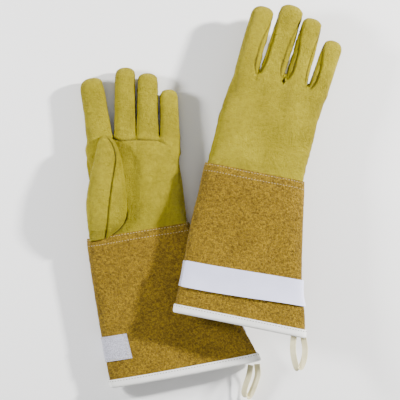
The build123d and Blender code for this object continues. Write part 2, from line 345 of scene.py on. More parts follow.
def tube_between(start, end, half, high):
    """A plain closed tube from start to end, level in plan, as a seed for the hand's mesh."""
    count = 16
    ring = superellipse(count, 2.4)
    along = np.array(end, float) - np.array(start, float)
    along /= np.linalg.norm(along)
    side = np.array([along[1], -along[0], 0])
    points = []
    for centre in (start, end):
        for a, b in ring:
            points.append(np.array(centre) + side * a * half + np.array([0, 0, b * high]))
    faces = grid_faces(2, count, closed=True)
    faces += [tuple(range(count - 1, -1, -1)), tuple(range(count, 2 * count))]
    return np.array(points), faces


def seed_mesh(glove):
    """Tubes for the palm and the fingers, joined into one skin of even quads."""
    points, faces, parts = [], [], []
    middle = HAND_LOW + 11
    for x in (-38, -13, 13, 38):
        parts.append(tube_between((x, -13, middle), (x, 106, middle), 19, 8.5))
    for f in glove.fingers.values():
        base, tip = f["base"] - f["along"] * 18, f["base"] + f["along"] * (f["length"] - 5)
        parts.append(tube_between((*base, middle), (*tip, middle), f["half"] * 0.72, 7.5))
    for part_points, part_faces in parts:
        start = sum(len(p) for p in points)
        points.append(part_points)
        faces += [tuple(i + start for i in face) for face in part_faces]
    return modified(np.concatenate(points), faces, "REMESH", mode="VOXEL", voxel_size=2.5)


def relax(points, faces, steps, share=0.5):
    """Even out a mesh by moving each point towards the mean of its neighbours."""
    edges = {tuple(sorted((f[i], f[(i + 1) % len(f)]))) for f in faces for i in range(len(f))}
    a, b = np.array(sorted(edges)).T
    degree = np.bincount(np.concatenate([a, b]), minlength=len(points))[:, None]
    for _ in range(steps):
        total = np.zeros_like(points)
        np.add.at(total, a, points[b])
        np.add.at(total, b, points[a])
        points = points + share * (total / degree - points)
    return points


def vertex_normals(points, faces):
    normals = np.zeros_like(points)
    quads = np.array([f for f in faces if len(f) == 4])
    across = np.cross(points[quads[:, 2]] - points[quads[:, 0]], points[quads[:, 3]] - points[quads[:, 1]])
    for k in range(4):
        np.add.at(normals, quads[:, k], across)
    return normals / np.maximum(np.linalg.norm(normals, axis=1), 1e-9)[:, None]


def face_out(points, faces, centre=None, first=None):
    """The faces, turned over if they look towards the middle, judged by all points or the first few."""
    centre = points.mean(0) if centre is None else centre
    outward = (points - centre) * vertex_normals(points, faces)
    return faces if outward[:first].sum() > 0 else [tuple(reversed(f)) for f in faces]


THUMB_SET_IN = ((-42, -6), (-30, 1), (-20.5, 6.5), (-12.6, 15.5), (-9.4, 25))
# hollows and swells: x, y, half width, half length and height
PALM_FORM = ((9, 86, 12, 15, -2.0), (4, 64, 19, 30, -2.3), (46, 52, 15, 44, 1.6), (24, 22, 30, 20, 1.0))
BACK_FORM = ((-14, 96, 10, 22, -0.9), (14, 94, 10, 22, -1.0), (42, 88, 10, 20, -0.9),
             (-30, 84, 14, 22, 0.8), (0, 84, 13, 22, 0.8), (29, 80, 13, 22, 0.8), (10, 38, 40, 26, -1.2))
# how far each side strip of a finger reaches onto its back, by side
STRIP_REACH = {"index": {1: 7.0}, "middle": {-1: 4.0, 1: 7.0}, "ring": {-1: 6.5, 1: 3.5},
               "little": {-1: 6.5}}
SEAM_WIDTH = 1.15  # half width of a seam's groove
SEAM_SHADE_WIDTH = 0.75  # half width of the dark line of painted shade and dirt at its bottom


def strip_edge(f, v, reach):
    """How far the back leather of a finger goes towards its side strip."""
    rise = smooth_step(v, -10, 14) * (1 - smooth_step(v, f["length"] * 0.38, f["length"] - 3))
    return f["half"] - 0.8 - reach * rise


def finger_seams(f, name, p, palm_side):
    """Grooves, dark lines of painted shade and dirt, and soft bends of one finger."""
    local = p[:, :2] - f["base"]
    u, v = local @ f["side"], local @ f["along"]
    on = (np.abs(u) < f["half"] + 3) & (v > -14)
    offset, seam_shade_and_dirt = np.zeros(len(p)), np.zeros(len(p))
    fade = smooth_step(v, -5, 5) * (1 - smooth_step(v, f["length"] - 9, f["length"] - 2))
    for side, reach in STRIP_REACH[name].items():
        beside = on * (side * u > 0) * fade
        line = side * u - strip_edge(f, v, reach)
        on_back = beside * (1 - palm_side)
        deep = 1 + 0.35 * groove(v - 16, 12)
        offset -= on_back * deep * (1.3 * groove(line, SEAM_WIDTH) + 0.6 * smooth_step(line, 0, 1.5))
        offset += on_back * 0.5 * groove(line + 2.6, 1.6)
        # painted shade and dirt along the bottom of the back seam's groove
        seam_shade_and_dirt += on_back * deep * groove(line - 0.2, SEAM_SHADE_WIDTH * deep)
        low = p[:, 2] - SEAM_Z - STRIP_RISE
        offset -= beside * 0.7 * groove(low, SEAM_WIDTH)
        # painted shade and dirt along the side seam on the palm side
        seam_shade_and_dirt += beside * 0.8 * groove(low, SEAM_SHADE_WIDTH) * palm_side
    middle = on * groove(u, 0.75 * f["half"])
    for place, depth in ((0.36, 0.32), (0.66, 0.28)):
        bend = v - f["length"] * place + 1.6 * np.sin(u * 0.3 + 9 * place + f["length"])
        offset -= middle * depth * (groove(bend, 2.4) + 0.6 * groove(bend - 4.6, 1.8))
    return offset, seam_shade_and_dirt


def forms(x, y, table):
    """Height of smooth hollows and swells at plan points."""
    height = np.zeros_like(x)
    for place_x, place_y, wide, long, high in table:
        height += high * np.exp(-((x - place_x) / wide) ** 2 - ((y - place_y) / long) ** 2)
    return height


def hand_details(glove, p, normals):
    """Offset along the normal of seams, creases and the leather's own unevenness, and the painted shade and
    dirt along the seams.
    """
    x, y, z = p.T
    warp = ripple(p, 24, glove.seed + 9)
    offset = 0.75 * ripple(p, 40, glove.seed) + 0.32 * ripple(p, 14, glove.seed + 3)
    palm_side = smooth_step(z, SEAM_Z + 0.5, SEAM_Z + 3.5)
    edge_on = smooth_step(1 - np.abs(normals[:, 2]), 0.3, 0.8)
    offset -= 0.9 * groove(z - SEAM_Z, 1.1) * edge_on
    # painted shade and dirt along the side seam
    seam_shade_and_dirt = 0.7 * groove(z - SEAM_Z, SEAM_SHADE_WIDTH) * edge_on
    for name, f in glove.fingers.items():
        more_offset, more_seam_shade_and_dirt = finger_seams(f, name, p, palm_side)
        offset += more_offset
        seam_shade_and_dirt += more_seam_shade_and_dirt
    seam = polyline_distance(x, y, PALM_SEAM)
    strength = smooth_step(-x, -60, -44) * palm_side
    offset += strength * (0.5 * groove(seam - 3.2, 2.4) - 1.2 * groove(seam, SEAM_WIDTH))
    # painted shade and dirt along the palm seam
    seam_shade_and_dirt += strength * groove(seam, SEAM_SHADE_WIDTH)
    set_in = polyline_distance(x, y, THUMB_SET_IN)
    offset -= palm_side * 1.4 * groove(set_in, SEAM_WIDTH)
    # painted shade and dirt along the thumb's set-in seam
    seam_shade_and_dirt += palm_side * groove(set_in, SEAM_SHADE_WIDTH * 1.3)
    offset += palm_side * forms(x, y, PALM_FORM) + (1 - palm_side) * forms(x, y, BACK_FORM)
    patchy = smooth_step(ripple(p, 30, glove.seed + 12), -0.05, 0.45)
    slanted = np.sin((x * 0.5 + y * 0.85) * 0.8 + 6 * warp)
    offset += 0.26 * slanted * patchy * smooth_step(y, 96, 30)
    offset += 0.1 * np.sin(x * 0.9 + 9 * warp) * smooth_step(y, 14, 0)
    return offset, np.clip(seam_shade_and_dirt, 0, 1)


def hand_skin(glove):
    """The whole leather skin of a hand, palm and fingers in one mesh."""
    points, faces = seed_mesh(glove)

    def field(p):
        return hand_field(glove, p)

    for _ in range(4):
        points = settle_on(field, points, 2)
        points = relax(points, faces, 1)
    points = settle_on(field, points, 3)
    points, faces = modified(points, faces, "SUBSURF", levels=1)
    points = settle_on(field, relax(points, faces, 1, 0.3), 2)
    faces = face_out(points, faces)
    normals = vertex_normals(points, faces)
    offset, seam_shade_and_dirt = hand_details(glove, points, normals)
    return points + normals * offset[:, None], faces, seam_shade_and_dirt


def label_faces(glove, centres):
    """The CAD node that each face of the skin stands for."""
    labels = np.where(centres[:, 2] < SEAM_Z, "back_panel", "palm_panel").astype(object)
    fields = {name: finger_field(f, centres) for name, f in glove.fingers.items()}
    nearest = np.array(list(fields))[np.argmin(np.array(list(fields.values())), axis=0)]
    for name, f in glove.fingers.items():
        local = centres[:, :2] - f["base"]
        u, v = local @ f["side"], local @ f["along"]
        mine = (nearest == name) & (v > 0)
        back = centres[:, 2] < SEAM_Z
        labels[mine & back] = f"{name}_back"
        labels[mine & ~back] = f"{name}_front"
        for side, reach in STRIP_REACH[name].items():
            beside = (side * u > strip_edge(f, v, reach)) & (centres[:, 2] < SEAM_Z + STRIP_RISE)
            labels[mine & beside & (v < f["length"] - 7)] = f"{name}_sides"
    return labels


def leather_piece(name, glove, points, faces, normals, seam_shade_and_dirt, material):
    """A piece of hide with its thickness, shaded as part of the whole skin it was cut from."""
    used = sorted({i for f in faces for i in f})
    index = {old: new for new, old in enumerate(used)}
    cut = [tuple(index[i] for i in f) for f in faces]
    piece = make_piece(name, glove, points[used], cut, material)
    # the seams' painted shade and dirt, carried to the shader as an attribute
    dark = piece.data.attributes.new("seam_shade_and_dirt", "FLOAT", "POINT")
    dark.data.foreach_set("value", seam_shade_and_dirt[used].astype(np.float32))
    thicken(piece, HIDE_THICK, HIDE_SHARP)
    world = (normals[used] @ glove.axes).tolist()
    custom = []
    for face in piece.data.polygons:
        corners = list(face.vertices)
        outside = max(corners) < len(used)
        custom += [world[i] if outside else (0.0, 0.0, 0.0) for i in corners]
    piece.data.normals_split_custom_set(custom)
    return piece


def build_hand(glove, leather):
    points, faces, seam_shade_and_dirt = hand_skin(glove)
    faces = [f for f in faces if points[list(f), 1].mean() > HAND_END]
    normals = vertex_normals(points, faces)
    centres = np.array([points[list(f)].mean(0) for f in faces])
    labels = label_faces(glove, centres)
    for label in sorted(set(labels)):
        chosen = [f for f, own in zip(faces, labels) if own == label]
        piece = leather_piece(f"{label}_leather", glove, points, chosen, normals, seam_shade_and_dirt, leather)
        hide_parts(f"{glove.side}_{label}")
        finger = label.split("_")[0]
        if finger not in glove.fingers:
            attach(piece, glove.body)
            continue
        f = glove.fingers[finger]
        start = glove.place((*f["base"], SEAM_Z))
        end = glove.place((*(f["base"] + f["along"] * 2 * KNUCKLE_OUT), SEAM_Z))
        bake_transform(piece)


# ------------------------ thumb

THUMB_OUTER_EDGE = {
    "left": ((-3, -60), (20, -59), (36, -57.5), (48, -55.3), (60, -51.5), (73, -46.5), (83, -42.8),
             (94, -38.3), (106, -33.8), (117, -28.8), (123.5, -21.3)),
    "right": ((-3, -58.8), (16, -58.3), (36, -57.2), (52, -56.4), (65, -55.9), (71, -54.2), (80, -48),
              (94, -39.5), (106, -34), (117, -28.8), (123.5, -21.3)),
}
THUMB_INNER_EDGE = ((-3, -39.6), (1.5, -30.4), (7.3, -20.8), (15.9, -13.2), (24, -10), (46, -6.6),
                    (70, -4.8), (92.6, -5.2), (108, -8.4), (117, -12.8), (123.5, -21.3))
THUMB_SEAM_X = ((-3, -41), (7.5, -36.8), (31, -30.4), (54.7, -23.5), (75.8, -16.6), (92, -11.6),
                (105.8, -12), (115, -15.2), (123.5, -21.3))
THUMB_HALF_HEIGHT = ((-3, 3.2), (10, 6.2), (30, 8.6), (60, 9.6), (95, 9.4), (110, 8.2), (119, 5.8),
                     (123.5, 0.3))
THUMB_BASE = -3
THUMB_BALL = 104  # where the round tip starts
THUMB_TIP = 123.5
THUMB_POWER = 2.3  # squareness of the thumb's section
THUMB_COLUMNS = 30  # points from the thumb's edge to its seam


def thumb_ring(glove, y):
    """A section of the thumb, from its outer edge over the palm side and back under."""
    left, right = curve(y, THUMB_OUTER_EDGE[glove.side]), curve(y, THUMB_INNER_EDGE)
    seam, high = curve(y, THUMB_SEAM_X), curve(y, THUMB_HALF_HEIGHT)
    middle = HAND_LOW + 2 * curve(y, HAND_HALF_HEIGHT) + high - 1.6
    t = 1 - np.cos(np.linspace(0, math.pi / 2, THUMB_COLUMNS))
    xs = np.concatenate([left + (seam - left) * t, (right - (right - seam) * t)[::-1][1:]])
    centre, half = (left + right) / 2, max((right - left) / 2, 0.05)
    across = np.clip(np.abs((xs - centre) / half), 0, 1)
    rise = high * (1 - across ** THUMB_POWER) ** (1 / THUMB_POWER)
    ys = np.full(len(xs), y)
    top, low = np.stack([xs, ys, middle + rise], 1), np.stack([xs, ys, middle - rise * 0.94], 1)
    return np.concatenate([top, low[::-1][1:-1]])


def thumb_details(glove, p, on_top):
    """Offset of the thumb's seam and folds, and the painted shade and dirt along its seam."""
    x, y, _ = p.T
    near = x - curve(y, THUMB_SEAM_X)
    fade = smooth_step(y, 122.5, 116) * on_top
    ridge, hollow = 0.75 * groove(near - 2.2, 1.8), 0.3 * groove(near + 3, 2)
    offset = fade * (ridge - 1.3 * groove(near, SEAM_WIDTH) - hollow)
    # painted shade and dirt along the bottom of the thumb's seam
    seam_shade_and_dirt = fade * groove(near - 0.2, SEAM_SHADE_WIDTH)
    soft = 0.7 * ripple(p, 32, glove.seed + 20) + 0.25 * ripple(p, 12, glove.seed + 21)
    for place, depth in ((50, 0.35), (86, 0.3)):
        soft -= depth * groove(y - place + 1.8 * np.sin(x * 0.25), 2.2)
    soft += 0.2 * smooth_step(y, 40, 6) * np.sin(y * 0.6 + x * 0.22 + 4 * ripple(p, 20, glove.seed + 22))
    return offset + soft * smooth_step(y, 123.2, 114), seam_shade_and_dirt


def build_thumb(glove, leather):
    """The thumb's two halves, cut from one form along its raised seam."""
    round_tip = THUMB_BALL + (THUMB_TIP - THUMB_BALL) * np.sin(np.linspace(0.06, 1, 26) * math.pi / 2)
    ys = np.concatenate([np.linspace(THUMB_BASE, THUMB_BALL, 100), round_tip])
    rings = np.array([thumb_ring(glove, y) for y in ys])
    rows, columns = rings.shape[:2]
    points = rings.reshape(-1, 3)
    faces = face_out(points, grid_faces(rows, columns, closed=True))
    top_count = 2 * THUMB_COLUMNS - 1
    on_top = (np.arange(len(points)) % columns < top_count).astype(float)
    offset, seam_shade_and_dirt = thumb_details(glove, points, on_top)
    points = points + vertex_normals(points, faces) * offset[:, None]
    normals = vertex_normals(points, faces)
    for half in ("outer", "inner"):
        chosen = []
        for f in faces:
            column = np.median([i % columns for i in f])
            over = column if column < top_count else 2 * (top_count - 1) - column
            if (over < THUMB_COLUMNS - 1) == (half == "outer"):
                chosen.append(f)
        piece = leather_piece(f"thumb_{half}_leather", glove, points, chosen, normals, seam_shade_and_dirt, leather)
        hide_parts(f"{glove.side}_thumb_{half}")
        start, end = glove.place((-48, -6, 30)), glove.place((-42, 34, 30))
        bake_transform(piece)


# ------------------------ cuff

CUFF_RIGHT_EDGE = {
    "left": ((8, 61), (0, 63.2), (-46, 77.4), (-95, 93), (-140, 107.6), (-172, 118.4), (-190, 124)),
    "right": ((8, 59.6), (0, 61.2), (-46, 68.6), (-94, 76.4), (-114, 80), (-135, 84), (-150, 90),
              (-170, 95), (-190, 98.4)),
}
CUFF_LEFT_EDGE = {
    "left": ((8, -61.8), (0, -63.6), (-31, -65.2), (-81, -65.6), (-112, -65.6), (-150, -65), (-190, -63.8)),
    "right": ((8, -60), (0, -61.6), (-28, -62.6), (-75, -64.6), (-112, -64.2), (-137, -63.4),
              (-160, -64), (-190, -64)),
}
CUFF_HALF_HEIGHT = {
    "left": ((8, 12), (0, 13.2), (-60, 13.4), (-120, 12.8), (-190, 11.6)),
    "right": ((8, 12), (0, 13.2), (-60, 13.2), (-120, 12), (-190, 11)),
}
CUFF_MIDDLE = 14.0
CUFF_POWER = 3.4  # squareness of the cuff's section
STRAP_Y = -136.6  # the closure strap's middle
HEM_RISE = {"left": 3.4, "right": -0.8}  # how far the hem climbs towards its little-finger end
# hollows and swells in the lying leather: x, y, half width, half length and height
CUFF_DENTS = {
    "left": ((-42, -62, 15, 34, -2.0), (22, -48, 30, 20, 1.4), (62, -120, 26, 30, -1.6),
             (-20, -150, 34, 18, 1.0)),
    "right": ((44, -92, 12, 26, -2.6), (30, -40, 26, 30, 1.5), (-20, -84, 30, 30, -1.2),
              (28, -158, 20, 8, -1.6)),
}


def hem_shift(glove, x, y):
    """How far the cuff's lower end moves up or down, so that its hem slopes."""
    across = np.clip((x - CUFF_THUMB_X) / 180, 0, 1)
    return HEM_RISE[glove.side] * across ** 1.6 * smooth_step(-y, 60, CUFF_LENGTH)


def strap_slope(x):
    """The closure strap climbs towards its sewn end."""
    return 4.6 * smooth_step(x, -50, 100)


def cuff_surface(glove, turn, y, out=0.0):
    """Points of the cuff's outer face, at turns round it and places along it, moved out by a distance."""
    turn, y = np.broadcast_arrays(np.asarray(turn, float), np.asarray(y, float))
    centre, half = span(y, CUFF_LEFT_EDGE[glove.side], CUFF_RIGHT_EDGE[glove.side])
    half, high = half + out, curve(y, CUFF_HALF_HEIGHT[glove.side]) + out
    c, s = np.cos(turn), np.sin(turn)
    x = centre + half * signed_power(c, 2 / CUFF_POWER)
    z = CUFF_MIDDLE + high * signed_power(s, 2 / CUFF_POWER)
    flat = np.stack([x, y, np.zeros_like(x)], -1).reshape(-1, 3)
    swell = 1.1 * ripple(flat, 62, glove.seed + 30) + 0.6 * ripple(flat, 25, glove.seed + 31)
    swell = swell.reshape(x.shape) + forms(x, y, CUFF_DENTS[glove.side])
    wave = smooth_step(-y, 120, CUFF_LENGTH) * 0.7 * np.sin(x * 0.055 + glove.seed)
    inward = np.clip(1 - np.abs((x - centre) / half) ** 6, 0, 1)
    shown = s < 0 if glove.mirrored else s > 0
    rest_bed = np.where(s < 0, 1.4 * groove(y - STRAP_Y - strap_slope(x), STRAP_WIDTH * 0.55), 0)
    z = z + inward * (np.where(shown, 1.0, 0.3) * np.where(s > 0, 1, -1) * swell + wave + rest_bed)
    return np.stack([x, y + hem_shift(glove, x, y), z], -1)


CUFF_COLUMNS = 260
TURNS = 2 * math.pi * np.arange(CUFF_COLUMNS) / CUFF_COLUMNS


def cuff_sheet(glove, ys, out):
    rows = cuff_surface(glove, TURNS[None, :], np.asarray(ys)[:, None], out)
    return rows.reshape(-1, 3), grid_faces(len(ys), len(TURNS), closed=True)


def build_cuff(glove, suede, cotton):
    """The cuff of split leather and the lining inside it."""
    points, faces = cuff_sheet(glove, np.linspace(0.6, -CUFF_LENGTH, 130), 0.0)
    faces = face_out(points, faces)
    normals = vertex_normals(points, faces)
    nap = 0.42 * ripple(points, 3.0, glove.seed + 40) + 0.25 * ripple(points, 6, glove.seed + 41)
    points = points + normals * nap[:, None]
    piece = make_piece("cuff_suede", glove, points, faces, suede, glove.body, CUFF_THICK)
    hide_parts(f"{glove.side}_cuff")
    points, faces = cuff_sheet(glove, np.linspace(-14, -CUFF_LENGTH + 1, 60), -CUFF_THICK - 0.5)
    faces = face_out(points, faces)
    piece = make_piece("cuff_cotton", glove, points, faces, cotton, glove.body, LINING_THICK)
    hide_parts(f"{glove.side}_cuff_lining")


def build_hand_lining(glove, cotton):
    """A tube of cotton inside the hand, clear of the leather's hollows."""
    count, inset = 96, 6
    ys = np.linspace(-11, 88, 40)
    rows = []
    ring = superellipse(count, PALM_POWER)
    for y in ys:
        centre, half = span(y, HAND_LEFT_EDGE[glove.side], HAND_RIGHT_EDGE[glove.side])
        high = curve(y, HAND_HALF_HEIGHT)
        middle = HAND_LOW + high - 0.8
        rows.append([(centre + a * (half - inset), y, middle + b * (high - inset)) for a, b in ring])
    points = np.array(rows).reshape(-1, 3)
    faces = face_out(points, grid_faces(len(ys), count, closed=True))
    piece = make_piece("hand_cotton", glove, points, faces, cotton, glove.body, LINING_THICK)
    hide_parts(f"{glove.side}_hand_lining")


HEM_END = -CUFF_LENGTH - 1.2
HEM_WIDTH = 9.6
# the folded tape's section: distance out from the cuff's face, and up from the hem's end
HEM_SECTION = ((0.9, HEM_WIDTH), (1.0, HEM_WIDTH * 0.66), (0.95, HEM_WIDTH * 0.33), (0.7, 1.2),
               (0.1, 0.25), (-0.9, 0), (-2.0, 0.3), (-2.9, 1.4), (-3.2, 4), (-3.2, 7.2))


def build_hem(glove, tape, thread):
    """Tape folded over the cuff's edge, with a row of stitches near its upper edge."""
    rows = [cuff_surface(glove, TURNS, HEM_END + up, out) for out, up in HEM_SECTION]
    points = np.array(rows).reshape(-1, 3)
    faces = grid_faces(len(HEM_SECTION), CUFF_COLUMNS, closed=True)
    centre, _ = span(-CUFF_LENGTH, CUFF_LEFT_EDGE[glove.side], CUFF_RIGHT_EDGE[glove.side])
    faces = face_out(points, faces, (centre, 0, CUFF_MIDDLE), CUFF_COLUMNS)
    piece = make_piece("hem_tape", glove, points, faces, tape, glove.body, 0.7, offset=1)
    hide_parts(f"{glove.side}_hem_binding")
    line = cuff_surface(glove, TURNS, HEM_END + HEM_WIDTH - 2, 1.75)
    stitch_line("hem_stitches", glove, line, thread,
                length=2.1, gap=1.4, radius=0.36, sink=0.0, closed=True)


# ------------------------ stitches

STITCH_SIDES = 6
# a stitch from end to end: share of its length, girth and height, in radii
STITCH_PROFILE = ((0.0, 0.25, -1.2), (0.12, 0.85, -0.1), (0.32, 1.0, 0.5), (0.5, 1.0, 0.6),
                  (0.68, 1.0, 0.5), (0.88, 0.85, -0.1), (1.0, 0.25, -1.2))


def stitch_shape(start, end, out, radius, sink):
    """One stitch: a thread that rises from the seam, lies along it and dips again."""
    along = end - start
    size = np.linalg.norm(along)
    along = along / size
    side = np.cross(along, out)
    points = []
    for share, girth, lift in STITCH_PROFILE:
        centre = start + along * size * share + out * radius * (lift - sink)
        for k in range(STITCH_SIDES):
            a = 2 * math.pi * k / STITCH_SIDES
            points.append(centre + (side * math.cos(a) + out * math.sin(a)) * radius * girth)
    last = STITCH_SIDES * (len(STITCH_PROFILE) - 1)
    faces = grid_faces(len(STITCH_PROFILE), STITCH_SIDES, closed=True)
    faces += [tuple(range(STITCH_SIDES - 1, -1, -1)), tuple(range(last, last + STITCH_SIDES))]
    return points, faces


def stitch_line(name, glove, line, thread, length, gap, radius, sink=0.2, closed=False):
    """A row of stitches along a line round the cuff, in the glove's frame."""
    centre = line.mean(0)
    if closed:
        line = np.concatenate([line, line[:1]])
    steps = np.linalg.norm(np.diff(line, axis=0), axis=1)
    distances = np.concatenate([[0], np.cumsum(steps)])
    total = distances[-1]
    count = int(total // (length + gap))
    points, faces = [], []
    for k in range(count):
        middle = (k + 0.5) * total / count
        ends = np.clip([middle - length / 2, middle + length / 2], 0, total)
        start, end = np.stack([np.interp(ends, distances, line[:, axis]) for axis in range(3)], 1)
        along = end - start
        if np.linalg.norm(along) < 1e-6:
            continue
        out = (start + end) / 2 - centre
        out[1] = 0
        out[0] *= np.abs(out[0] / 60) ** 8
        out = out - along * (out @ along) / (along @ along)
        out = out / np.linalg.norm(out)
        stitch_points, stitch_faces = stitch_shape(start, end, out, radius, sink)
        base = len(points)
        points += stitch_points
        faces += [tuple(i + base for i in face) for face in stitch_faces]
    piece = make_piece(name, glove, np.array(points), faces, thread, glove.body)


WRIST_ROWS = (-1.4, -9.0)  # places of the two rows that join the hand to the cuff


def build_wrist_stitches(glove, thread):
    for row, y in enumerate(WRIST_ROWS):
        line = cuff_surface(glove, TURNS, y + 0.25 * np.sin(5 * TURNS), 0.1)
        stitch_line(f"wrist_stitches_{row}", glove, line, thread,
                    length=2.2, gap=1.3, radius=0.3, closed=True)


# ------------------------ closure

def turn_at(glove, x, y, back=True):
    """The turn round the cuff at which its face has a given x."""
    centre, half = span(y, CUFF_LEFT_EDGE[glove.side], CUFF_RIGHT_EDGE[glove.side])
    angle = np.arccos(signed_power(np.clip((x - centre) / half, -1, 1), CUFF_POWER / 2))
    return -angle if back else angle


def band(glove, turns, y_low, y_high, out, columns=14, round_end=0.0, sloped=False):
    """A band round part of the cuff, with its corners at the first end rounded."""
    centre, half = (y_low + y_high) / 2, (y_high - y_low) / 2
    rows = []
    for turn in turns:
        x = cuff_surface(glove, turn, STRAP_Y)[..., 0]
        rise = strap_slope(x) if sloped else 0
        narrow = 1 - 0.05 * smooth_step(x, -40, 90) if sloped else 1
        places = centre + rise + narrow * half * np.linspace(-1, 1, columns)
        rows.append([cuff_surface(glove, turn, y, out) for y in places])
    points = np.array(rows)
    if round_end:
        for i in range(len(turns)):
            travelled = np.linalg.norm(points[i, columns // 2] - points[0, columns // 2])
            if travelled < round_end:
                trim = round_end - math.sqrt(max(0, round_end ** 2 - (round_end - travelled) ** 2))
                points[i, :, 1] = centre + (points[i, :, 1] - centre) * (half - trim) / half
    return points.reshape(-1, 3), grid_faces(len(turns), columns)


STRAP_SEWN_TURN = {"left": -0.24, "right": -0.09}  # where each strap is sewn, as a turn round the cuff


def build_strap(glove, fabric):
    """The closure strap across the back."""
    y_low, y_high = STRAP_Y - STRAP_WIDTH / 2, STRAP_Y + STRAP_WIDTH / 2
    free = turn_at(glove, CUFF_THUMB_X + 3.6, STRAP_Y)
    sewn = STRAP_SEWN_TURN[glove.side]
    turns = free + (sewn - free) * np.linspace(0, 1, 110) ** 0.8
    points, faces = band(glove, turns, y_low, y_high, 1.5, round_end=2.5, sloped=True)
    centre = ((points[:, 0].min() + points[:, 0].max()) / 2, STRAP_Y, CUFF_MIDDLE)
    faces = face_out(points, faces, centre)
    piece = make_piece("strap_band", glove, points, faces, fabric, None, 1.3, offset=1)
    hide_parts(f"{glove.side}_closure_strap")
    spot = glove.local(glove.joint("strap_open")[0])
    start, end = glove.place((spot[0] + 6, STRAP_Y, 0)), glove.place((spot[0] - 9, STRAP_Y, 0))
    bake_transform(piece)


def build_patch(glove, hooks, thread):
    """The hook patch, from the palm face round the thumb side to the back."""
    y_low, y_high = STRAP_Y - 15.4, STRAP_Y + 15.4
    edge = 1.4
    palm_end = turn_at(glove, -33, STRAP_Y, back=False)
    back_end = 2 * math.pi + turn_at(glove, -42, STRAP_Y)
    turns = np.linspace(palm_end, back_end, 70)
    points, faces = band(glove, turns, y_low, y_high, 0.15)
    faces = face_out(points, faces, (-30, STRAP_Y, CUFF_MIDDLE))
    piece = make_piece("hook_pad", glove, points, faces, hooks, glove.body, 0.9, offset=1)
    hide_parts(f"{glove.side}_hook_patch")
    seen = np.linspace(palm_end + 0.05, math.pi, 40)
    low, high = (cuff_surface(glove, seen, y, 1.25) for y in (y_low + edge, y_high - edge))
    stitch_line("patch_stitches", glove, np.concatenate([low[::-1], high]), thread,
                length=2.4, gap=1.0, radius=0.28, sink=0.3)


# ------------------------ hanging loop

LOOP_WIDTH = 7.8
# the tape's line: distance across from its pivot, and down as a share of the loop's drop
LOOP_ROUTE = {
    "left": ((-2.5, -0.06), (-7, 0.3), (-13, 0.62), (-16, 0.86), (-14, 1.0), (-9.6, 0.98), (-2, 0.66),
             (4.2, 0.3), (5.4, -0.06)),
    "right": ((-6.5, -0.06), (-5.4, 0.3), (-2.4, 0.62), (2.6, 0.93), (5.8, 1.0), (8.6, 0.9),
              (10.4, 0.62), (9.6, 0.3), (5.5, -0.06)),
}
# lean of the tape's face along its two strands, in radians
LOOP_TILT = {"left": (2.55, 0.45), "right": (0.5, 2.6)}


def build_loop(glove, tape):
    """A tape that leaves the hem, turns over at its end and comes back beside itself."""
    spot = glove.local(glove.joint("loop_swing")[0])
    box = glove.local(glove.vertices("hanging_loop"))
    bottom = box[:, 1].min()
    drop = spot[1] - bottom
    z0, z1 = spot[2], box[box[:, 1] < bottom + 4, 2].mean()
    plan = LOOP_ROUTE[glove.side]
    route = [(spot[0] + dx, spot[1] - drop * down, z0 + (z1 - z0) * down) for dx, down in plan]
    knots = range(len(route))
    s = np.linspace(0, len(route) - 1, 90)
    line = np.stack([curve(s, list(zip(knots, values))) for values in zip(*route)], 1)
    tangent = np.gradient(line, axis=0)
    tangent /= np.linalg.norm(tangent, axis=1)[:, None]
    first, last = LOOP_TILT[glove.side]
    tilt = first + (last - first) * smooth_step(np.linspace(0, 1, len(line)), 0.42, 0.62)
    across = np.linspace(-LOOP_WIDTH / 2, LOOP_WIDTH / 2, 7)
    upright = np.array([0, 0, 1.0])
    rows = []
    for p, t, a in zip(line, tangent, tilt):
        side = np.cross(t, upright)
        side /= np.linalg.norm(side)
        flat = upright * math.sin(a) + side * math.cos(a)
        rows.append([p + flat * w for w in across])
    points = np.array(rows).reshape(-1, 3)
    faces = grid_faces(len(line), len(across))
    body = f"{glove.side}_loop"
    piece = make_piece("loop_tape", glove, points, faces, tape, body, 0.9, offset=0)
    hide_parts(f"{glove.side}_hanging_loop")


# ------------------------ materials

def node_material(name, roughness, sheen=0.0, specular=0.35):
    """A material, its node tree, its shader and the place on the object that its patterns follow."""
    material = bpy.data.materials.new(name)
    material.use_nodes = True
    tree = material.node_tree
    shader = tree.nodes["Principled BSDF"]
    shader.inputs["Roughness"].default_value = roughness
    shader.inputs["Sheen Weight"].default_value = sheen
    shader.inputs["Specular IOR Level"].default_value = specular
    place = tree.nodes.new("ShaderNodeTexCoord")
    return material, tree, shader, place.outputs["Object"]


def feed(tree, slot, value):
    """Link a socket to a node's input, or set the input to a number or a colour."""
    if isinstance(value, bpy.types.NodeSocket):
        tree.links.new(value, slot)
    else:
        slot.default_value = (*value, 1) if isinstance(value, tuple) else value


def new_node(tree, kind, **inputs):
    node = tree.nodes.new(kind)
    for name, value in inputs.items():
        feed(tree, node.inputs[name], value)
    return node


def noise_node(tree, where, scale, detail=3.0, rough=0.55, distortion=0.0):
    node = new_node(tree, "ShaderNodeTexNoise", Vector=where, Scale=scale, Detail=detail,
                    Roughness=rough, Distortion=distortion)
    return node.outputs["Fac"]


def voronoi_node(tree, where, scale, feature="DISTANCE_TO_EDGE"):
    node = new_node(tree, "ShaderNodeTexVoronoi", Vector=where, Scale=scale)
    node.feature = feature
    return node.outputs["Distance"]


def ramp(tree, value, stops):
    node = tree.nodes.new("ShaderNodeValToRGB")
    elements = node.color_ramp.elements
    while len(elements) < len(stops):
        elements.new(0.5)
    for element, (spot, colour) in zip(elements, stops):
        element.position = spot
        element.color = (*colour, 1)
    tree.links.new(value, node.inputs["Fac"])
    return node.outputs["Color"]


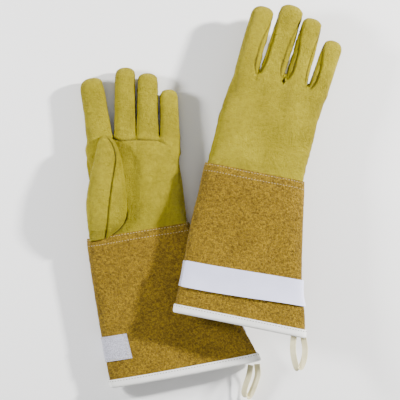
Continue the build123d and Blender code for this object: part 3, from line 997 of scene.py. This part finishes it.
def mix(tree, a, b, share, mode="MIX"):
    node = tree.nodes.new("ShaderNodeMix")
    node.data_type = "RGBA"
    node.blend_type = mode
    for socket, value in (("A", a), ("B", b)):
        feed(tree, next(i for i in node.inputs if i.name == socket and i.type == "RGBA"), value)
    feed(tree, node.inputs["Factor"], share)
    return next(o for o in node.outputs if o.type == "RGBA")


def maths(tree, kind, a, b):
    node = tree.nodes.new("ShaderNodeMath")
    node.operation = kind
    for slot, value in zip(node.inputs, (a, b)):
        feed(tree, slot, value)
    return node.outputs["Value"]


def clothe(tree, shader, colour, height, strength, depth):
    """Give a shader its colour and its relief, with a depth in metres."""
    node = new_node(tree, "ShaderNodeBump", Strength=strength, Distance=depth, Height=height)
    feed(tree, shader.inputs["Base Color"], colour)
    feed(tree, shader.inputs["Normal"], node.outputs["Normal"])


def attribute_node(tree, name):
    node = tree.nodes.new("ShaderNodeAttribute")
    node.attribute_name = name
    return node.outputs["Fac"]


def grain_leather():
    """Smooth olive-yellow grain leather: fine pebbles, soft creases, cloudy dye, and painted shade and dirt
    along the seams.
    """
    material, tree, shader, where = node_material("grain_leather", 0.5, 0.0, 0.14)
    cloud = noise_node(tree, where, 20, 3)
    mottle = noise_node(tree, where, 240, 4, 0.7)
    colour = ramp(tree, cloud, ((0.3, (0.295, 0.240, 0.006)), (0.7, (0.40, 0.334, 0.010))))
    worn = ramp(tree, mottle, ((0.36, (0.56, 0.53, 0.55)), (0.6, (1.0, 1.0, 1.0))))
    colour = mix(tree, colour, worn, 0.5, "MULTIPLY")
    # painted shade and dirt: the seams' grooves darkened through the attribute made with the hide's pieces
    dark = maths(tree, "MULTIPLY", attribute_node(tree, "seam_shade_and_dirt"), 0.9)
    colour = mix(tree, colour, (0.05, 0.034, 0.004), dark)
    pebbles = ramp(tree, voronoi_node(tree, where, 700), ((0.0, (0, 0, 0)), (0.3, (1, 1, 1))))
    folds = noise_node(tree, where, 130, 5, 0.7, 0.7)
    wrinkles = noise_node(tree, where, 430, 3, 0.6, 1.2)
    height = maths(tree, "ADD", maths(tree, "MULTIPLY", pebbles, 0.2), folds)
    coarse = ramp(tree, noise_node(tree, where, 26, 2), ((0.42, (0.3, 0.3, 0.3)), (0.6, (1.3, 1.3, 1.3))))
    height = maths(tree, "ADD", height, maths(tree, "MULTIPLY", wrinkles, coarse))
    clothe(tree, shader, colour, height, 1.0, 0.0034)
    return material


def suede():
    """Golden-brown split leather: a matted nap with small pits and clumps, its own mottle and painted shade
    in the pits.
    """
    material, tree, shader, where = node_material("split_leather", 0.95, 0.06, 0.1)
    pits = noise_node(tree, where, 430, 3, 0.6, 1.0)
    nap = noise_node(tree, where, 1700, 3, 0.6)
    cloud = noise_node(tree, where, 30, 4, 0.6)
    # colour follows the pits' noise, darker where the relief sinks: the nap's own mottle and painted shade
    # in the pits
    stops = ((0.37, (0.122, 0.071, 0.006)), (0.5, (0.222, 0.137, 0.008)), (0.62, (0.350, 0.222, 0.011)))
    colour = ramp(tree, pits, stops)
    brushed = ramp(tree, cloud, ((0.3, (0.80, 0.78, 0.74)), (0.7, (1.1, 1.09, 1.05))))
    colour = mix(tree, colour, brushed, 0.85, "MULTIPLY")
    height = maths(tree, "ADD", pits, maths(tree, "MULTIPLY", nap, 0.25))
    clothe(tree, shader, colour, height, 1.0, 0.0048)
    return material


def woven(name, light, dark, scale, strength=0.6):
    """A close plain weave."""
    material, tree, shader, where = node_material(name, 0.85, 0.15)
    axes = tree.nodes.new("ShaderNodeSeparateXYZ")
    tree.links.new(where, axes.inputs[0])
    diagonals = [maths(tree, kind, axes.outputs[0], axes.outputs[1]) for kind in ("ADD", "SUBTRACT")]
    warp, weft = (maths(tree, "SINE", maths(tree, "MULTIPLY", line, scale), 0) for line in diagonals)
    weave = maths(tree, "ADD", maths(tree, "MULTIPLY", maths(tree, "MULTIPLY", warp, weft), 0.35), 0.5)
    dirt = noise_node(tree, where, 60, 3)
    shade = maths(tree, "ADD", maths(tree, "MULTIPLY", weave, 0.4), maths(tree, "MULTIPLY", dirt, 0.6))
    colour = ramp(tree, shade, ((0.3, dark), (0.65, light)))
    clothe(tree, shader, colour, weave, strength, 0.0004)
    return material


def hook_pile():
    """Short stiff hooks, close together."""
    material, tree, shader, where = node_material("hook_fabric", 0.75, 0.2)
    cells = voronoi_node(tree, where, 760, "F1")
    colour = ramp(tree, cells, ((0.15, (0.62, 0.62, 0.72)), (0.7, (0.36, 0.36, 0.43))))
    clothe(tree, shader, colour, maths(tree, "SUBTRACT", 1.0, cells), 0.8, 0.0012)
    return material


def thread_material(name, dark, light):
    """Twisted sewing thread."""
    material, tree, shader, where = node_material(name, 0.7, 0.1)
    strands = noise_node(tree, where, 900, 2)
    colour = ramp(tree, strands, ((0.3, dark), (0.7, light)))
    clothe(tree, shader, colour, strands, 0.4, 0.0003)
    return material


# ------------------------ stage, light and camera

FLOOR_HALF_SIDE = 4.0
FLOOR_Z = -0.0005  # just below the gloves, so that no face lies in the floor


def build_stage():
    mesh = bpy.data.meshes.new("floor")
    corners = ((-1, -1), (1, -1), (1, 1), (-1, 1))
    points = [(x * FLOOR_HALF_SIDE, y * FLOOR_HALF_SIDE, FLOOR_Z) for x, y in corners]
    mesh.from_pydata(points, [], [(0, 1, 2, 3)])
    floor = new_object("floor", mesh)
    material = bpy.data.materials.new("floor")
    material.use_nodes = True
    shader = material.node_tree.nodes["Principled BSDF"]
    shader.inputs["Base Color"].default_value = (0.95, 0.95, 0.95, 1)
    shader.inputs["Roughness"].default_value = 0.9
    shader.inputs["Specular IOR Level"].default_value = 0.1
    mesh.materials.append(material)


def area_light(name, spot, target, size, power, colour=(1, 1, 1)):
    data = bpy.data.lights.new(name, "AREA")
    data.size = size
    data.energy = power
    data.color = colour
    light = new_object(name, data)
    light.location = spot
    light.rotation_euler = (Vector(target) - Vector(spot)).to_track_quat("-Z", "Y").to_euler()


def build_light():
    area_light("key", (1.42, 0.60, 0.78), (0, 0, 0.02), 0.12, 98, (1.0, 0.985, 0.96))
    area_light("left", (-1.25, 0.34, 0.74), (0, 0, 0.02), 0.3, 35)
    area_light("top", (0, -0.2, 2.2), (0, 0, 0), 1.8, 10)
    world = bpy.data.worlds.new("studio")
    bpy.context.scene.world = world
    world.use_nodes = True
    back = world.node_tree.nodes["Background"]
    back.inputs["Color"].default_value = (1, 1, 1, 1)
    back.inputs["Strength"].default_value = 0.34


CAMERA_SPOT = (-0.0126, 0.0029, 2.4)
FRAME_WIDTH = 0.488  # what the frame takes in, in metres, at a middling height of the gloves
FRAME_Z = 0.03  # that height
SENSOR = 36


def build_camera():
    """Straight down from above, with the fingertips at the top of the frame."""
    data = bpy.data.cameras.new("camera")
    data.sensor_width = SENSOR
    data.lens = SENSOR * (CAMERA_SPOT[2] - FRAME_Z) / FRAME_WIDTH
    camera = new_object("camera", data)
    camera.location = CAMERA_SPOT
    bpy.context.scene.camera = camera


# ------------------------ the pair

def main():
    build_camera()
    build_stage()
    build_light()
    leather, split, hooks = grain_leather(), suede(), hook_pile()
    thread = thread_material("cream_thread", (0.34, 0.26, 0.10), (0.56, 0.47, 0.25))
    hem_thread = thread_material("hem_thread", (0.13, 0.11, 0.07), (0.22, 0.19, 0.14))
    cotton = woven("lining", (0.74, 0.70, 0.60), (0.58, 0.54, 0.44), 2600)
    hem_tape = woven("hem_tape", (0.90, 0.90, 0.87), (0.78, 0.78, 0.74), 3600)
    loop_tape = woven("loop_tape", (0.84, 0.78, 0.52), (0.58, 0.52, 0.26), 3600)
    strap_fabric = woven("strap_fabric", (0.70, 0.71, 0.93), (0.64, 0.65, 0.86), 5200, 0.3)
    for glove in GLOVES:
        build_hand(glove, leather)
        build_thumb(glove, leather)
        build_cuff(glove, split, cotton)
        build_hand_lining(glove, cotton)
        build_hem(glove, hem_tape, hem_thread)
        build_wrist_stitches(glove, thread)
        build_strap(glove, strap_fabric)
        build_patch(glove, hooks, thread)
        build_loop(glove, loop_tape)


main()
